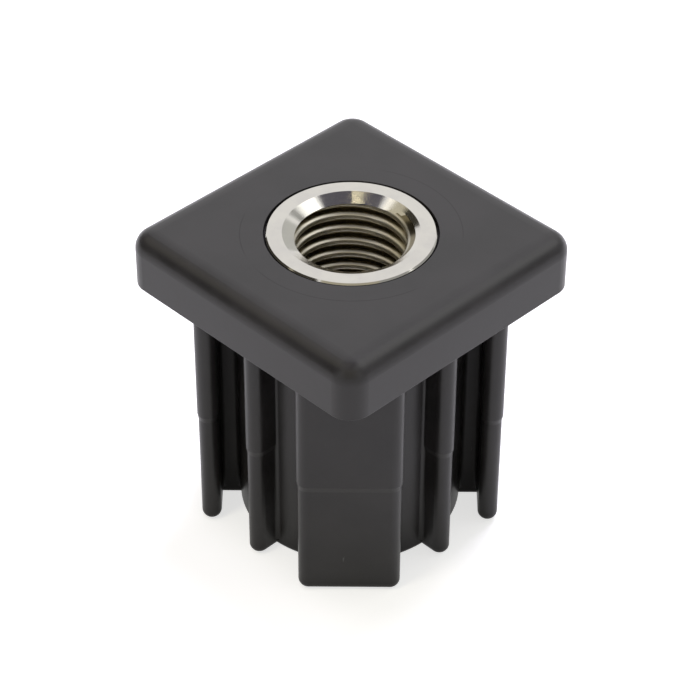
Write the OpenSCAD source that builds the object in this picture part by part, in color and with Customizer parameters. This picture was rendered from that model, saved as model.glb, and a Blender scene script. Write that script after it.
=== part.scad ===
// Square tube end plug with a threaded steel bush moulded into its head, which
// closes the end of a box tube and takes the stem of a levelling foot or castor.
// Millimetres. The origin is on the plug's axis, in the plane where the head
// seats on the tube's end. +Z points out of the tube.

/* [Head] */
// Width of the square head, the same as the outside of the tube
head_w = 40; // [38.5:0.5:46]
// Thickness of the head
head_t = 7.7; // [6:0.1:12]
// Radius of the head's four upright corners
head_corner_r = 3.1; // [1:0.1:6]
// Radius of the soft edge round the outer face
head_edge_r = 2.4; // [0.5:0.1:2.8]
// Width of the slight crown that leads from the flat face into the soft edge
head_crown_w = 0.6; // [0.2:0.1:1]

/* [Plug] */
// Width across the fins beside the head, a light press in the tube
plug_w = 36.2; // [35.4:0.1:38]
// Length of the plug below the head
plug_len = 35.3; // [28:0.1:60]
// Diameter of the round core that holds the bush
core_d = 29.3; // [27:0.1:30]
// Radius of the core's lower edge
core_edge_r = 0.9; // [0.2:0.1:1.5]

/* [Fins] */
// Thickness of the fins beside the head
fin_t = 2.9; // [2.4:0.1:3.6]
// Step back of every fin face on the leading length
fin_relief = 0.15; // [0.05:0.01:0.3]
// Length of the full-width part of the fins, from the head
fin_grip_len = 17.4; // [8:0.1:24]
// Length of the slope between the full width and the leading width
fin_ramp_len = 0.8; // [0.2:0.1:3]
// Radius of the rounded lower ends of the fins
fin_end_r = 1.2; // [0.3:0.05:1.2]
// Width of the blade across each corner
blade_w = 13.4; // [9:0.1:15]
// Thickness of the web between the core and each blade
web_t = 2.2; // [2:0.1:3.2]
// Radius of the rounded lower edge of the webs
web_end_r = 0.9; // [0.2:0.1:1]
// Radius of the fillets between the core, the fins and the webs
root_fillet_r = 0.6; // [0.2:0.1:0.8]
// Depth to which ribs and webs run into the core
root_depth = 1.2; // [0.5:0.1:2]

/* [Bush] */
// Outside diameter of the bush
bush_d = 21.5; // [20:0.1:23.5]
// Length of the bush
bush_len = 30; // [20:0.5:36]
// Height of the bush's face above the head
bush_proud = 0.1; // [0:0.05:0.5]
// Diameter of the drilled hole that the thread is cut in
tap_drill_d = 14; // [13.8:0.05:14.2]
// Diameter of the countersunk mouth at each end
mouth_d = 17.3; // [16.2:0.1:18]
// Depth of the countersunk mouth
mouth_depth = 0.8; // [0.4:0.1:1.6]
// Chamfer on the bush's outer edges
bush_edge = 0.2; // [0.1:0.05:0.5]
// Distance from the bush's face to its anchoring groove
groove_top = 12; // [9:0.5:14]
// Height of the anchoring groove
groove_h = 5; // [2:0.5:6]
// Depth of the anchoring groove
groove_depth = 0.8; // [0.4:0.1:1]

/* [Bush pocket] */
// Clearance between the bush and the moulding
bush_gap = 0.05; // [0.02:0.01:0.1]
// Width of the open gap round the bush at the outer face
rim_gap = 0.25; // [0.15:0.05:0.5]
// Depth of the open gap round the bush
rim_gap_depth = 0.8; // [0.3:0.1:2]
// Diameter of the stem hole below the bush
stem_hole_d = 17; // [16.5:0.1:18]

/* [Hidden] */
$fn = 96;
sides = 4;
through = 1;
crown_tilt = 15;
face_corner_min = 0.1;
fillet_lift = 0.2;

// The soft edge is scaled down where the head's corners are too small for it.
soft_fit = min(1, (head_corner_r - face_corner_min) / (head_edge_r + head_crown_w));
edge_r = head_edge_r * soft_fit;
crown_w = head_crown_w * soft_fit;
crown_r = edge_r + crown_w / sin(crown_tilt);
crown_reach = crown_r * sin(crown_tilt);
soft_w = edge_r + crown_w;
soft_h = edge_r * cos(crown_tilt) + crown_r * (1 - cos(crown_tilt));

core_r = core_d / 2;
fin_half_t = fin_t / 2;
lead_half_t = fin_half_t - fin_relief;
rib_x = plug_w / 2 - fin_half_t;
blade_span = blade_w - fin_t;
blade_x = rib_x * sqrt(2) - blade_span / 2;
web_half_t = web_t / 2;
root_x = core_r - root_depth;

bush_r = bush_d / 2;
bush_top = head_t + bush_proud;
bush_bottom = bush_top - bush_len;
groove_hi = bush_top - groove_top;
groove_lo = groove_hi - groove_h;
groove_r = bush_r - groove_depth;
bore_r = tap_drill_d / 2;
mouth_r = mouth_d / 2;
pocket_r = bush_r + bush_gap;
rim_r = bush_r + rim_gap;

// Head: a square plate with round upright corners and one soft edge.

module head_outline() {
    straight = head_w - 2 * head_corner_r;
    square([head_w, straight], center = true);
    square([straight, head_w], center = true);
    for (x = [-1, 1], y = [-1, 1])
        translate([x * straight / 2, y * straight / 2])
            circle(head_corner_r);
}

// Half a section through the soft-edged part, from the middle of the flat face
// to the side: the flat, the crown's wide arc and the edge's small one.
module soft_half_section(flat_w) {
    under = min(flat_w, crown_reach);
    square([flat_w, soft_h]);
    translate([flat_w, 0])
        intersection() {
            translate([0, soft_h - crown_r])
                circle(crown_r);
            translate([-under, 0])
                square([under + crown_reach, soft_h]);
        }
    translate([flat_w + crown_w, 0])
        intersection() {
            circle(edge_r);
            translate([-crown_w, 0])
                square([crown_w + edge_r, edge_r]);
        }
}

module head() {
    straight = head_w - 2 * head_corner_r;
    linear_extrude(head_t - soft_h)
        head_outline();
    translate([0, 0, head_t - soft_h]) {
        for (turn = [0, 90])
            rotate([90, 0, turn])
                linear_extrude(straight, center = true)
                    both_halves()
                        soft_half_section(head_w / 2 - soft_w);
        for (x = [-1, 1], y = [-1, 1])
            translate([x * straight / 2, y * straight / 2, 0])
                rotate_extrude()
                    soft_half_section(head_corner_r - soft_w);
    }
}

// Fins: every fin has the same section, full width beside the head, a short
// slope to the leading width, and a rounded lower end. It is drawn as half a
// section, with the fin's middle plane at x = 0 and the head at y = 0.

module fin_half_section() {
    polygon([
        [0, 0],
        [fin_half_t, 0],
        [fin_half_t, -fin_grip_len],
        [lead_half_t, -fin_grip_len - fin_ramp_len],
        [lead_half_t, fin_end_r - plug_len],
        [0, fin_end_r - plug_len]
    ]);
    round_foot(lead_half_t, fin_end_r);
}

// Lower end of half a section, from its middle plane to its rounded edge.
module round_foot(half_t, r) {
    translate([0, -plug_len])
        square([half_t - r, r]);
    intersection() {
        translate([half_t - r, r - plug_len])
            circle(r);
        translate([0, -plug_len])
            square([half_t, r]);
    }
}

module both_halves() {
    children();
    mirror([1, 0])
        children();
}

// Straight stretch of fin, along +X from x = from to x = to.
module fin_wall(from, to) {
    translate([from, 0, 0])
        rotate([90, 0, 90])
            linear_extrude(to - from)
                both_halves()
                    fin_half_section();
}

// Round upright edge of a fin.
module fin_edge() {
    rotate_extrude()
        fin_half_section();
}

// Rib in the middle of a side, from the core to the tube's wall.
module rib() {
    fin_wall(root_x, rib_x);
    translate([rib_x, 0, 0])
        fin_edge();
}

// Blade across a corner of the tube, round at both upright edges.
module blade() {
    translate([blade_x, 0, 0])
        rotate([0, 0, 90])
            fin_wall(-blade_span / 2, blade_span / 2);
    for (y = [-1, 1])
        translate([blade_x, y * blade_span / 2, 0])
            fin_edge();
}

module web_half_section() {
    translate([0, web_end_r - plug_len])
        square([web_half_t, plug_len - web_end_r]);
    round_foot(web_half_t, web_end_r);
}

// Web that carries a blade on the core.
module web() {
    translate([root_x, 0, 0])
        rotate([90, 0, 90])
            linear_extrude(blade_x - root_x)
                both_halves()
                    web_half_section();
}

// Plan of the fillet between the core and one flat side of a wall along +X.
module core_fillet_plan(half_t) {
    y = half_t + root_fillet_r;
    x = sqrt(pow(core_r + root_fillet_r, 2) - y * y);
    inward = core_r / (core_r + root_fillet_r);
    difference() {
        polygon([
            [x, y],
            [x, half_t],
            [root_x, half_t - root_fillet_r],
            [x * inward, y * inward]
        ]);
        translate([x, y])
            circle(root_fillet_r);
    }
}

// Plan of the fillet between a web's flat side and the blade's inner face.
module blade_fillet_plan() {
    x = blade_x - lead_half_t;
    difference() {
        translate([x - root_fillet_r, web_half_t - root_fillet_r])
            square([2 * root_fillet_r, 2 * root_fillet_r]);
        translate([x - root_fillet_r, web_half_t + root_fillet_r])
            circle(root_fillet_r);
    }
}

// Upright fillets on both sides of a wall, ended above the rounded edges.
module upright_fillets() {
    end = plug_len - max(core_edge_r, web_end_r, fin_end_r) - fillet_lift;
    for (side = [0, 1])
        mirror([0, side, 0])
            translate([0, 0, -end])
                linear_extrude(end)
                    children();
}

module core() {
    rotate_extrude()
        union() {
            translate([0, core_edge_r - plug_len])
                square([core_r, plug_len - core_edge_r]);
            round_foot(core_r, core_edge_r);
        }
}

// Space for the bush, the open gap round its face, the collar that fills its
// groove, and the stem hole below it.
module bush_pocket() {
    rotate_extrude()
        polygon([
            [0, -plug_len - through],
            [stem_hole_d / 2, -plug_len - through],
            [stem_hole_d / 2, bush_bottom - bush_gap],
            [pocket_r, bush_bottom - bush_gap],
            [pocket_r, groove_lo + bush_gap],
            [groove_r + bush_gap, groove_lo + bush_gap],
            [groove_r + bush_gap, groove_hi - bush_gap],
            [pocket_r, groove_hi - bush_gap],
            [pocket_r, head_t - rim_gap_depth],
            [rim_r, head_t - rim_gap_depth],
            [rim_r, head_t + through],
            [0, head_t + through]
        ]);
}

module plug_body() {
    color([0.16, 0.16, 0.17])
        difference() {
            union() {
                head();
                core();
                for (i = [0:sides - 1]) {
                    rotate([0, 0, i * 360 / sides]) {
                        rib();
                        upright_fillets()
                            core_fillet_plan(lead_half_t);
                    }
                    rotate([0, 0, (i + 0.5) * 360 / sides]) {
                        web();
                        blade();
                        upright_fillets() {
                            core_fillet_plan(web_half_t);
                            blade_fillet_plan();
                        }
                    }
                }
            }
            bush_pocket();
        }
}

module threaded_bush() {
    color([0.86, 0.85, 0.82])
        rotate_extrude()
            polygon([
                [bore_r, bush_bottom + mouth_depth],
                [mouth_r, bush_bottom],
                [bush_r - bush_edge, bush_bottom],
                [bush_r, bush_bottom + bush_edge],
                [bush_r, groove_lo],
                [groove_r, groove_lo],
                [groove_r, groove_hi],
                [bush_r, groove_hi],
                [bush_r, bush_top - bush_edge],
                [bush_r - bush_edge, bush_top],
                [mouth_r, bush_top],
                [bore_r, bush_top - mouth_depth]
            ]);
}

plug_body();
threaded_bush();
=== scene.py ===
import math

import bmesh
import bpy
from mathutils import Matrix, Vector


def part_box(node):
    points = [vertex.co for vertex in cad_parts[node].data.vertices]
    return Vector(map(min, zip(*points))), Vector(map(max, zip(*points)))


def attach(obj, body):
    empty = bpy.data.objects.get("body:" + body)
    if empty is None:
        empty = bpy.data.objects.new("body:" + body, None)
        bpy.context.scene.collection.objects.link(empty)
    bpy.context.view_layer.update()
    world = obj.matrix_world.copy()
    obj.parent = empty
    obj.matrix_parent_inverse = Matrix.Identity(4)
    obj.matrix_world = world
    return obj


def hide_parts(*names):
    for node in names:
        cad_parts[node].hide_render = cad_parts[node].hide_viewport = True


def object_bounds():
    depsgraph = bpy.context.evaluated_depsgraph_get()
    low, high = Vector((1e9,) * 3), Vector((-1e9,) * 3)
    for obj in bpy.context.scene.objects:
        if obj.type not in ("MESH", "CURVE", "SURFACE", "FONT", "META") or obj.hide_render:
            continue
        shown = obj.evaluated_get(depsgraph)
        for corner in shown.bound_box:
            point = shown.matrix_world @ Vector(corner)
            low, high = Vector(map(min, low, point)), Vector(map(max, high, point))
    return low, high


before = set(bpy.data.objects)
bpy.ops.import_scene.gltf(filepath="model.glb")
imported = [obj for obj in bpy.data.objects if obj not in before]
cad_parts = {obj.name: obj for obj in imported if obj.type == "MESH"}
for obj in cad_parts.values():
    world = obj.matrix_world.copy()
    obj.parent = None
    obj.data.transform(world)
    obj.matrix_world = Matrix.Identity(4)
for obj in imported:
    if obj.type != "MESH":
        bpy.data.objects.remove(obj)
cad_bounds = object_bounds()

# Sizes of the bush, in metres, with what is inside its CAD box as in part.scad
MM = 0.001
HEAD_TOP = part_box("plug_body")[1].z
BUSH_LOW, BUSH_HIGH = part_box("threaded_bush")
BUSH_RADIUS = BUSH_HIGH.x
BUSH_TOP = BUSH_HIGH.z
BUSH_BOTTOM = BUSH_LOW.z
BUSH_EDGE = 0.2 * MM
MOUTH_RADIUS = 8.65 * MM
MOUTH_DEPTH = 0.8 * MM
GROOVE_TOP = 12 * MM
GROOVE_HEIGHT = 5 * MM
GROOVE_DEPTH = 0.8 * MM

# M16 x 2 thread
MINOR_RADIUS = 7.0 * MM
MAJOR_RADIUS = 8.0 * MM
THREAD_PITCH = 2.0 * MM
THREAD_ROOT_FLAT = THREAD_PITCH / 8
FLANK_ANGLE = 60
CREST_ROUND = 0.25 * MM
CREST_STEPS = 4
ROOT_ROUND = 0.15 * MM
ROOT_STEPS = 3
# Height of the thread's start, so that its crests lie as they do in the photograph
THREAD_LIFT = -0.62 * MM
THREAD_COLUMNS = 128
WELD = 0.001 * MM
SHARP_ANGLE = math.radians(24)


# Camera

PHOTO_SIZE = 700
SENSOR = 36
CLIP_START = 0.01
CLIP_END = 50
FOCAL_PX = 2577.7
CENTRE_PX = (350.65, 354.77)
CAMERA_AZIMUTH = math.radians(45.11)
CAMERA_ELEVATION = math.radians(39.27)
CAMERA_ROLL = math.radians(0.334)
CAMERA_DISTANCE = 333.0 * MM
CAMERA_TARGET = Vector((0, 0, -12 * MM))


def make_camera():
    back = Vector((
        math.sin(CAMERA_AZIMUTH) * math.cos(CAMERA_ELEVATION),
        -math.cos(CAMERA_AZIMUTH) * math.cos(CAMERA_ELEVATION),
        math.sin(CAMERA_ELEVATION),
    ))
    level_right = Vector((math.cos(CAMERA_AZIMUTH), math.sin(CAMERA_AZIMUTH), 0))
    level_up = back.cross(level_right)
    right = level_right * math.cos(CAMERA_ROLL) + level_up * math.sin(CAMERA_ROLL)
    up = level_up * math.cos(CAMERA_ROLL) - level_right * math.sin(CAMERA_ROLL)
    data = bpy.data.cameras.new("camera")
    data.sensor_width = SENSOR
    data.lens = FOCAL_PX / PHOTO_SIZE * SENSOR
    data.shift_x = (PHOTO_SIZE / 2 - CENTRE_PX[0]) / PHOTO_SIZE
    data.shift_y = (CENTRE_PX[1] - PHOTO_SIZE / 2) / PHOTO_SIZE
    data.clip_start = CLIP_START
    data.clip_end = CLIP_END
    camera = bpy.data.objects.new("camera", data)
    bpy.context.scene.collection.objects.link(camera)
    axes = Matrix((right, up, back)).transposed()
    camera.matrix_world = Matrix.Translation(CAMERA_TARGET + back * CAMERA_DISTANCE) @ axes.to_4x4()
    bpy.context.scene.camera = camera


# Node helpers

def new_material(name):
    material = bpy.data.materials.new(name)
    material.use_nodes = True
    tree = material.node_tree
    tree.nodes.clear()
    return material, tree


def node(tree, kind, **values):
    made = tree.nodes.new(kind)
    for name, value in values.items():
        setattr(made, name, value)
    return made


def math_node(tree, operation, first, second=None):
    made = node(tree, "ShaderNodeMath", operation=operation)
    for socket, value in zip(made.inputs, (first, second)):
        if value is None:
            continue
        if isinstance(value, (int, float)):
            socket.default_value = value
        else:
            tree.links.new(value, socket)
    return made.outputs[0]


def noise(tree, vector, scale, detail):
    """Noise whose blobs are about 1 / scale metres wide."""
    made = node(tree, "ShaderNodeTexNoise")
    made.inputs["Scale"].default_value = scale
    made.inputs["Detail"].default_value = detail
    tree.links.new(vector, made.inputs["Vector"])
    return made.outputs["Fac"]


def remap(tree, value, low, high, to_low, to_high):
    made = node(tree, "ShaderNodeMapRange", interpolation_type="SMOOTHSTEP")
    made.inputs["From Min"].default_value = low
    made.inputs["From Max"].default_value = high
    made.inputs["To Min"].default_value = to_low
    made.inputs["To Max"].default_value = to_high
    tree.links.new(value, made.inputs["Value"])
    return made.outputs["Result"]


def mix_colour(tree, factor, first, second):
    made = node(tree, "ShaderNodeMix", data_type="RGBA")
    for socket, value in ((made.inputs[0], factor), (made.inputs[6], first), (made.inputs[7], second)):
        if isinstance(value, (int, float, tuple)):
            socket.default_value = value
        else:
            tree.links.new(value, socket)
    return made.outputs[2]


def mix_value(tree, factor, first, second):
    made = node(tree, "ShaderNodeMix", data_type="FLOAT")
    tree.links.new(factor, made.inputs[0])
    made.inputs[2].default_value = first
    made.inputs[3].default_value = second
    return made.outputs[0]


def stretched(tree, place, scale, turn=0):
    made = node(tree, "ShaderNodeMapping")
    made.inputs["Scale"].default_value = scale
    made.inputs["Rotation"].default_value = (math.radians(turn), math.radians(turn), 0)
    tree.links.new(place, made.inputs["Vector"])
    return made.outputs["Vector"]


def axis_distance(tree, place):
    parts = node(tree, "ShaderNodeSeparateXYZ")
    tree.links.new(place, parts.inputs[0])
    squares = [math_node(tree, "MULTIPLY", parts.outputs[i], parts.outputs[i]) for i in (0, 1)]
    return math_node(tree, "SQRT", math_node(tree, "ADD", *squares))


def height_of(tree, place):
    parts = node(tree, "ShaderNodeSeparateXYZ")
    tree.links.new(place, parts.inputs[0])
    return parts.outputs["Z"]


def bump(tree, height, distance, normal=None):
    made = node(tree, "ShaderNodeBump")
    made.inputs["Distance"].default_value = distance
    made.inputs["Strength"].default_value = 1.0
    tree.links.new(height, made.inputs["Height"])
    if normal is not None:
        tree.links.new(normal, made.inputs["Normal"])
    return made.outputs["Normal"]


def finish_material(material, tree, shader):
    output = node(tree, "ShaderNodeOutputMaterial")
    tree.links.new(shader.outputs[0], output.inputs["Surface"])
    return material


# Black moulded plastic

PLASTIC_DARK = (0.0196, 0.0186, 0.0185, 1)
PLASTIC_LIGHT = (0.0272, 0.0257, 0.0256, 1)
PLASTIC_WORN = (0.075, 0.072, 0.074, 1)
PLASTIC_IOR = 1.6
EDGE_RADIUS = 0.16 * MM
# Reach of the painted shade in the gaps between the fins
CAVITY_SHADE_REACH = 7 * MM
WITNESS_RADIUS = 13.9 * MM
# Painted shade: the sides and fins have this share of the head face's sheen, so they render darker than
# the face
SIDE_SHADE_SHARE = 0.42
# Blobs per metre
MOTTLE_SCALE = 120
RIPPLE_SCALE = 420
GRAIN_SCALE = 6000
SPECK_SCALE = 150


def edge_wear(tree, place, rounded):
    """Light wear where an edge turns, broken up by noise."""
    true_normal = node(tree, "ShaderNodeNewGeometry").outputs["Normal"]
    turn = node(tree, "ShaderNodeVectorMath", operation="DOT_PRODUCT")
    tree.links.new(rounded, turn.inputs[0])
    tree.links.new(true_normal, turn.inputs[1])
    edge = remap(tree, turn.outputs["Value"], 0.995, 0.9, 0, 1)
    patches = remap(tree, noise(tree, place, 500, 3), 0.42, 0.68, 0.1, 0.8)
    return math_node(tree, "MULTIPLY", edge, patches)


def specks(tree, place):
    """A few pale specks of dust, about 0.2 mm wide and some 10 mm apart."""
    cells = node(tree, "ShaderNodeTexVoronoi")
    cells.inputs["Scale"].default_value = SPECK_SCALE
    tree.links.new(place, cells.inputs["Vector"])
    near = remap(tree, cells.outputs["Distance"], 0.010, 0.020, 1, 0)
    pick = node(tree, "ShaderNodeSeparateColor")
    tree.links.new(cells.outputs["Color"], pick.inputs[0])
    chosen = remap(tree, pick.outputs[0], 0.5, 0.6, 0, 1)
    return math_node(tree, "MULTIPLY", near, chosen)


def witness_line(tree, place):
    """The faint line that the mould's insert leaves round the bush."""
    off = math_node(tree, "SUBTRACT", axis_distance(tree, place), WITNESS_RADIUS)
    line = remap(tree, math_node(tree, "ABSOLUTE", off), 0.03 * MM, 0.12 * MM, 1, 0)
    on_face = remap(tree, height_of(tree, place), HEAD_TOP - 0.4 * MM, HEAD_TOP - 0.3 * MM, 0, 1)
    broken = remap(tree, noise(tree, place, 90, 1), 0.38, 0.56, 0, 1)
    return math_node(tree, "MULTIPLY", math_node(tree, "MULTIPLY", line, on_face), broken)


def scuffs(tree, place):
    """Short pale scratches on the leading ends, where the plug has met a tube."""
    slanted = stretched(tree, place, (1, 1, 0.16), 35)
    streaks = remap(tree, noise(tree, slanted, 2600, 2), 0.70, 0.78, 0, 1)
    patches = remap(tree, noise(tree, place, 260, 1), 0.56, 0.66, 0, 1)
    low = remap(tree, height_of(tree, place), -26 * MM, -14 * MM, 1, 0.15)
    return math_node(tree, "MULTIPLY", math_node(tree, "MULTIPLY", streaks, patches), low)


def plastic_sheen(tree, place, witness):
    """Specular level, with painted shade: low in the gaps between the fins and on the sides and fins
    below the face, lower on the witness line, full on the face.
    """
    # Painted shade: ambient occlusion cuts the sheen in the gaps between the fins, where shade falls
    painted_cavity_shade = node(tree, "ShaderNodeAmbientOcclusion", samples=8)
    painted_cavity_shade.inputs["Distance"].default_value = CAVITY_SHADE_REACH
    shaded_sheen = remap(tree, painted_cavity_shade.outputs["AO"], 0.25, 0.8, 0.12, 0.5)
    shaded_sheen = math_node(tree, "MULTIPLY", shaded_sheen, remap(tree, witness, 0, 1, 1, 0.72))
    # Painted shade: below the head's face the sheen drops to the sides' share
    side_shade = remap(tree, height_of(tree, place), HEAD_TOP - 2.0 * MM, HEAD_TOP - 0.6 * MM, SIDE_SHADE_SHARE, 1)
    return math_node(tree, "MULTIPLY", shaded_sheen, side_shade)


def plastic_material():
    material, tree = new_material("black_plastic_look")
    place = node(tree, "ShaderNodeTexCoord").outputs["Object"]
    shader = node(tree, "ShaderNodeBsdfPrincipled")
    shader.inputs["IOR"].default_value = PLASTIC_IOR
    bevel = node(tree, "ShaderNodeBevel", samples=4)
    bevel.inputs["Radius"].default_value = EDGE_RADIUS
    rounded = bevel.outputs["Normal"]
    mottle = noise(tree, place, MOTTLE_SCALE, 4)
    grain = noise(tree, place, GRAIN_SCALE, 2)

    marks = math_node(tree, "MAXIMUM", specks(tree, place), scuffs(tree, place))
    worn = math_node(tree, "MULTIPLY", edge_wear(tree, place, rounded), 0.5)
    pale = math_node(tree, "MAXIMUM", marks, worn)
    colour = mix_colour(tree, remap(tree, mottle, 0.3, 0.7, 0, 1), PLASTIC_DARK, PLASTIC_LIGHT)
    tree.links.new(mix_colour(tree, pale, colour, PLASTIC_WORN), shader.inputs["Base Color"])

    shaded_sheen = plastic_sheen(tree, place, witness_line(tree, place))
    tree.links.new(shaded_sheen, shader.inputs["Specular IOR Level"])

    rough = remap(tree, mottle, 0.3, 0.7, 0.29, 0.36)
    for extra, share in ((grain, 0.06), (pale, 0.15)):
        rough = math_node(tree, "ADD", rough, math_node(tree, "MULTIPLY", extra, share))
    tree.links.new(rough, shader.inputs["Roughness"])

    normal = bump(tree, noise(tree, place, RIPPLE_SCALE, 2), 0.010 * MM, rounded)
    tree.links.new(bump(tree, grain, 0.004 * MM, normal), shader.inputs["Normal"])
    return finish_material(material, tree, shader)


# Plated steel of the bush

STEEL = (0.86, 0.83, 0.77, 1)
STEEL_STAINED = (0.80, 0.77, 0.73, 1)
THREAD_CREST = (0.86, 0.81, 0.70, 1)
# Painted shade: the dark colour of the thread's flanks and roots
THREAD_FLANK_SHADE = (0.27, 0.235, 0.165, 1)
TURNING_STEP = 0.12 * MM


def plated_material():
    """Turned and plated faces: fine rings round the axis, faint stains."""
    material, tree = new_material("plated_steel_look")
    place = node(tree, "ShaderNodeTexCoord").outputs["Object"]
    shader = node(tree, "ShaderNodeBsdfPrincipled")
    shader.inputs["Metallic"].default_value = 1.0
    stain = noise(tree, place, 400, 3)
    colour = mix_colour(tree, remap(tree, stain, 0.3, 0.75, 0, 1), STEEL, STEEL_STAINED)
    tree.links.new(colour, shader.inputs["Base Color"])
    tree.links.new(remap(tree, stain, 0.3, 0.7, 0.07, 0.13), shader.inputs["Roughness"])
    radius = axis_distance(tree, place)
    rings = math_node(tree, "SINE", math_node(tree, "MULTIPLY", radius, 2 * math.pi / TURNING_STEP))
    tree.links.new(bump(tree, rings, 0.0006 * MM), shader.inputs["Normal"])
    return finish_material(material, tree, shader)


def thread_material():
    """Tapped steel: bright worn crests, and painted shade that darkens the flanks and roots."""
    material, tree = new_material("tapped_steel_look")
    place = node(tree, "ShaderNodeTexCoord").outputs["Object"]
    shader = node(tree, "ShaderNodeBsdfPrincipled")
    shader.inputs["Metallic"].default_value = 1.0
    radius = axis_distance(tree, place)
    # Noise that breaks up the edge of the painted shade
    shade_wobble = noise(tree, place, 900, 3)
    uneven = math_node(tree, "MULTIPLY", math_node(tree, "SUBTRACT", shade_wobble, 0.5), 0.1 * MM)
    edge = math_node(tree, "ADD", radius, uneven)
    # Painted shade: the colour darkens from the crests into the flanks and roots, along a noisy edge
    depth = remap(tree, edge, MINOR_RADIUS + 0.20 * MM, MINOR_RADIUS + 0.45 * MM, 0, 1)
    tree.links.new(mix_colour(tree, depth, THREAD_CREST, THREAD_FLANK_SHADE), shader.inputs["Base Color"])
    tree.links.new(mix_value(tree, depth, 0.34, 0.16), shader.inputs["Roughness"])
    scratches = noise(tree, stretched(tree, place, (1, 1, 12)), 900, 2)
    tree.links.new(bump(tree, scratches, 0.003 * MM), shader.inputs["Normal"])
    return finish_material(material, tree, shader)


# Threaded bush: one closed mesh, its bore a helical M16 x 2 thread

def thread_profile():
    """One pitch of the bore as (height, radius) points, from the middle of a crest to the next."""
    half_flank = math.radians(FLANK_ANGLE / 2)
    flank = (MAJOR_RADIUS - MINOR_RADIUS) * math.tan(half_flank)
    crest = (THREAD_PITCH - THREAD_ROOT_FLAT) / 2 - flank
    points = [(0, MINOR_RADIUS)]
    round_start = crest - CREST_ROUND * math.tan(half_flank)
    for step in range(CREST_STEPS + 1):
        tilt = math.radians(FLANK_ANGLE * step / CREST_STEPS)
        points.append((
            round_start + CREST_ROUND * math.sin(tilt),
            MINOR_RADIUS + CREST_ROUND * (1 - math.cos(tilt)),
        ))
    points.append((crest + flank / 2, (MINOR_RADIUS + MAJOR_RADIUS) / 2))
    round_end = crest + flank + ROOT_ROUND * math.tan(half_flank)
    for step in range(ROOT_STEPS + 1):
        tilt = math.radians(FLANK_ANGLE * (1 - step / ROOT_STEPS))
        points.append((
            round_end - ROOT_ROUND * math.sin(tilt),
            MAJOR_RADIUS - ROOT_ROUND * (1 - math.cos(tilt)),
        ))
    points.append((THREAD_PITCH / 2, MAJOR_RADIUS))
    return points + [(THREAD_PITCH - height, radius) for height, radius in reversed(points[1:-1])]


def mouth_radius(z):
    """Radius of the countersinks at a height, less than the thread's between them."""
    slope = (MOUTH_RADIUS - MINOR_RADIUS) / MOUTH_DEPTH
    return MOUTH_RADIUS - slope * min(z - BUSH_BOTTOM, BUSH_TOP - z)


def bore_line(rise):
    """The bore's wall from the bottom up, where the thread has risen by that much.

    Each point is its radius, its height and whether it lies on the thread.
    """
    turns = math.ceil((BUSH_TOP - BUSH_BOTTOM) / THREAD_PITCH) + 2
    start = BUSH_BOTTOM - 1.5 * THREAD_PITCH + THREAD_LIFT
    thread = [
        (radius, start + turn * THREAD_PITCH + height + rise)
        for turn in range(turns)
        for height, radius in thread_profile()
    ]
    over = [radius - mouth_radius(z) for radius, z in thread]
    line = []
    for k, (radius, z) in enumerate(thread):
        beside = [j for j in (k - 1, k + 1) if 0 <= j < len(thread) and over[j] > 0]
        if over[k] > 0:
            line.append((radius, z, True))
        elif beside:
            # The thread runs out here, on the line to its neighbour
            near = beside[0]
            near_radius, near_z = thread[near]
            share = over[near] / (over[near] - over[k])
            radius = near_radius + (radius - near_radius) * share
            z = near_z + (z - near_z) * share
            line.append((radius, z, False))
        else:
            z = min(max(z, BUSH_BOTTOM), BUSH_TOP)
            line.append((mouth_radius(z), z, False))
    return line


def bush_outside():
    """The outside from the mouth at the top to the mouth at the bottom, as (radius, height) points."""
    groove_top = BUSH_TOP - GROOVE_TOP
    groove_bottom = groove_top - GROOVE_HEIGHT
    groove_radius = BUSH_RADIUS - GROOVE_DEPTH
    return [
        (MOUTH_RADIUS, BUSH_TOP),
        (BUSH_RADIUS - BUSH_EDGE, BUSH_TOP),
        (BUSH_RADIUS, BUSH_TOP - BUSH_EDGE),
        (BUSH_RADIUS, groove_top),
        (groove_radius, groove_top),
        (groove_radius, groove_bottom),
        (BUSH_RADIUS, groove_bottom),
        (BUSH_RADIUS, BUSH_BOTTOM + BUSH_EDGE),
        (BUSH_RADIUS - BUSH_EDGE, BUSH_BOTTOM),
        (MOUTH_RADIUS, BUSH_BOTTOM),
    ]


def add_bore(mesh):
    columns = []
    for column in range(THREAD_COLUMNS + 1):
        turn = column / THREAD_COLUMNS
        angle = 2 * math.pi * turn
        columns.append([
            (mesh.verts.new((radius * math.cos(angle), radius * math.sin(angle), z)), on_thread)
            for radius, z, on_thread in bore_line(turn * THREAD_PITCH)
        ])
    for left, right in zip(columns, columns[1:]):
        for row in range(len(left) - 1):
            lower = (left[row], left[row + 1], right[row])
            upper = (left[row + 1], right[row + 1], right[row])
            for corners in (lower, upper):
                face = mesh.faces.new([vertex for vertex, _ in corners])
                face.material_index = int(all(on_thread for _, on_thread in corners))


def add_outside(mesh):
    outside = bush_outside()
    rings = []
    for column in range(THREAD_COLUMNS + 1):
        angle = 2 * math.pi * column / THREAD_COLUMNS
        rings.append([mesh.verts.new((r * math.cos(angle), r * math.sin(angle), z)) for r, z in outside])
    for left, right in zip(rings, rings[1:]):
        for row in range(len(outside) - 1):
            mesh.faces.new((left[row], left[row + 1], right[row + 1], right[row]))


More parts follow.
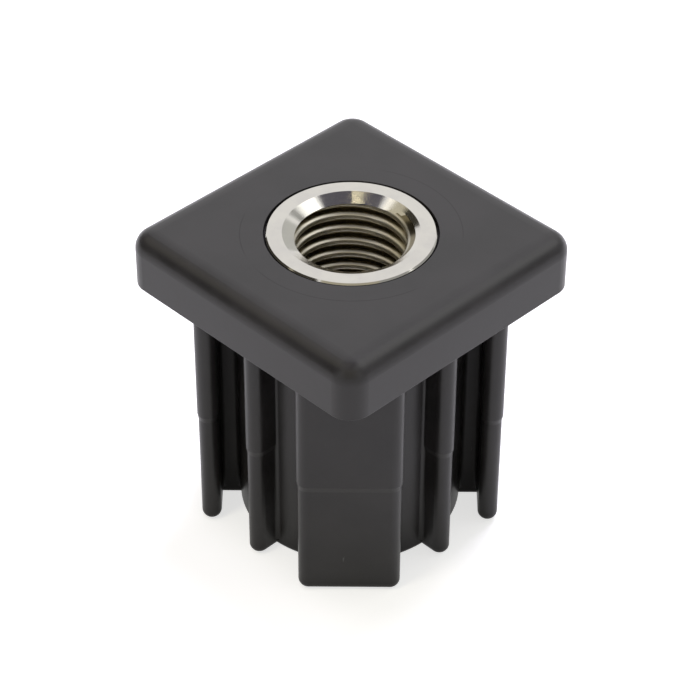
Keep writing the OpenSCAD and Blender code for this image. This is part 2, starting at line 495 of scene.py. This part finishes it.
def bush_mesh():
    mesh = bmesh.new()
    add_bore(mesh)
    add_outside(mesh)
    bmesh.ops.remove_doubles(mesh, verts=mesh.verts, dist=WELD)
    bmesh.ops.dissolve_degenerate(mesh, edges=mesh.edges, dist=WELD)
    bmesh.ops.recalc_face_normals(mesh, faces=mesh.faces)
    data = bpy.data.meshes.new("bush")
    mesh.to_mesh(data)
    mesh.free()
    data.polygons.foreach_set("use_smooth", [True] * len(data.polygons))
    data.set_sharp_from_angle(angle=SHARP_ANGLE)
    return data


# Studio

LAMP_DISTANCE = 1.3
FLOOR_REACH = 6.0
FLOOR_COLOUR = (0.66, 0.66, 0.66, 1)
FLOOR_GLOW = 0.68
AMBIENT = 0.15
AMBIENT_COLOUR = (1.02, 1, 0.94, 1)
COOL = (1.0, 0.965, 1.16)
NEUTRAL = (0.99, 1.0, 0.97)
WARM = (1.07, 1.0, 0.78)
GOLD = (1.1, 1.0, 0.66)


def studio_place(right_of_back, elevation, distance):
    """A point round the object: degrees to the right of straight back from the camera, and up."""
    azimuth = CAMERA_AZIMUTH - math.radians(right_of_back)
    height = math.radians(elevation)
    return Vector((
        -math.sin(azimuth) * math.cos(height),
        math.cos(azimuth) * math.cos(height),
        math.sin(height),
    )) * distance


def face_object(thing, place):
    aim = (-place).to_track_quat("-Z", "Y").to_matrix().to_4x4()
    thing.matrix_world = Matrix.Translation(place) @ aim


def rectangle_mesh(name, width, depth, z=0.0):
    x, y = width / 2, depth / 2
    mesh = bpy.data.meshes.new(name)
    mesh.from_pydata([(-x, -y, z), (x, -y, z), (x, y, z), (-x, y, z)], [], [(0, 1, 2, 3)])
    return mesh


def seen_ray(tree):
    """1 where the camera looks, straight or by a mirror or glass, and 0 for what lights things."""
    path = node(tree, "ShaderNodeLightPath")
    glossy, through = path.outputs["Is Glossy Ray"], path.outputs["Is Transmission Ray"]
    mirrored = math_node(tree, "MAXIMUM", glossy, through)
    return math_node(tree, "MAXIMUM", mirrored, path.outputs["Is Camera Ray"])


def make_floor():
    """A pale floor that keeps the object's shadow and can't be seen from underneath."""
    mesh = rectangle_mesh("floor", 2 * FLOOR_REACH, 2 * FLOOR_REACH, cad_bounds[0][2])
    floor = bpy.data.objects.new("floor", mesh)
    bpy.context.scene.collection.objects.link(floor)
    material, tree = new_material("floor_look")
    diffuse = node(tree, "ShaderNodeBsdfDiffuse")
    diffuse.inputs["Color"].default_value = FLOOR_COLOUR
    glow = node(tree, "ShaderNodeEmission")
    tree.links.new(math_node(tree, "MULTIPLY", seen_ray(tree), FLOOR_GLOW), glow.inputs["Strength"])
    both = node(tree, "ShaderNodeAddShader")
    tree.links.new(diffuse.outputs[0], both.inputs[0])
    tree.links.new(glow.outputs[0], both.inputs[1])
    side = node(tree, "ShaderNodeNewGeometry")
    clear = node(tree, "ShaderNodeBsdfTransparent")
    from_above = node(tree, "ShaderNodeMixShader")
    tree.links.new(side.outputs["Backfacing"], from_above.inputs[0])
    tree.links.new(both.outputs[0], from_above.inputs[1])
    tree.links.new(clear.outputs[0], from_above.inputs[2])
    mesh.materials.append(finish_material(material, tree, from_above))


def make_world():
    world = bpy.data.worlds.new("studio")
    bpy.context.scene.world = world
    world.use_nodes = True
    tree = world.node_tree
    tree.nodes.clear()
    ambient = node(tree, "ShaderNodeBackground")
    ambient.inputs["Color"].default_value = AMBIENT_COLOUR
    ambient.inputs["Strength"].default_value = AMBIENT
    white = node(tree, "ShaderNodeBackground")
    white.inputs["Strength"].default_value = 1.0
    choose = node(tree, "ShaderNodeMixShader")
    tree.links.new(seen_ray(tree), choose.inputs[0])
    tree.links.new(ambient.outputs[0], choose.inputs[1])
    tree.links.new(white.outputs[0], choose.inputs[2])
    output = node(tree, "ShaderNodeOutputWorld")
    tree.links.new(choose.outputs[0], output.inputs["Surface"])


def make_lamp(name, right_of_back, elevation, size, radiance, colour, reflected=True):
    """An area lamp that faces the object, and may be left out of reflections."""
    data = bpy.data.lights.new(name, "AREA")
    data.shape = "RECTANGLE"
    data.size, data.size_y = size
    data.energy = radiance * math.pi * size[0] * size[1]
    data.color = colour
    lamp = bpy.data.objects.new(name, data)
    lamp.visible_glossy = reflected
    bpy.context.scene.collection.objects.link(lamp)
    face_object(lamp, studio_place(right_of_back, elevation, LAMP_DISTANCE))


def make_flag(name, right_of_back, elevation, distance, size, glow, colour):
    """A grey card beside the set, seen in reflections and not by the camera."""
    mesh = rectangle_mesh(name, *size)
    flag = bpy.data.objects.new(name, mesh)
    bpy.context.scene.collection.objects.link(flag)
    face_object(flag, studio_place(right_of_back, elevation, distance))
    flag.visible_camera = False
    material, tree = new_material(name + "_look")
    shade = node(tree, "ShaderNodeEmission")
    shade.inputs["Color"].default_value = (*colour, 1)
    shade.inputs["Strength"].default_value = glow
    mesh.materials.append(finish_material(material, tree, shade))


def make_lamps():
    """Lamps by degrees to the right of straight back, degrees up, size in metres and radiance."""
    make_lamp("back_lamp", 5, 72, (0.3, 0.3), 23, COOL, reflected=False)
    make_lamp("back_right_lamp", 28, 58, (0.45, 0.45), 14, COOL, reflected=False)
    make_lamp("overhead_lamp", -90, 84, (0.3, 0.3), 9, COOL, reflected=False)
    make_lamp("overhead_strip", -90, 78.8, (0.035, 0.5), 3.4, GOLD)
    make_lamp("front_left_lamp", -125, 55, (0.3, 0.3), 10.5, WARM, reflected=False)
    make_lamp("right_softbox", 75, 50, (0.8, 0.7), 1.0, NEUTRAL)
    make_lamp("left_softbox", -75, 50, (0.8, 0.7), 0.45, WARM)


def make_flags():
    """Cards by degrees to the right of straight back, degrees up, distance, size and glow."""
    make_flag("left_flag", -78, 30, 1.42, (2.2, 1.7), 0.04, WARM)
    make_flag("right_flag", 90, 30, 1.42, (2.0, 1.7), 0.3, NEUTRAL)
    make_flag("front_flag", 180, 40, 1.6, (1.8, 1.6), 0.35, WARM)
    make_flag("back_right_flag", 37, 20, 1.7, (1.3, 0.95), 0.52, NEUTRAL)
    make_flag("ceiling_flag", 0, 90, 1.5, (1.2, 1.2), 0.1, COOL)


# Scene

bpy.context.scene.view_settings.view_transform = "Standard"
make_camera()
make_floor()
make_world()
make_lamps()
make_flags()

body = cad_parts["plug_body"]
body.data.materials.clear()
body.data.materials.append(plastic_material())

bush = bpy.data.objects.new("bush", bush_mesh())
bpy.context.scene.collection.objects.link(bush)
bush.data.materials.append(plated_material())
bush.data.materials.append(thread_material())
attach(bush, "root")
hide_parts("threaded_bush")
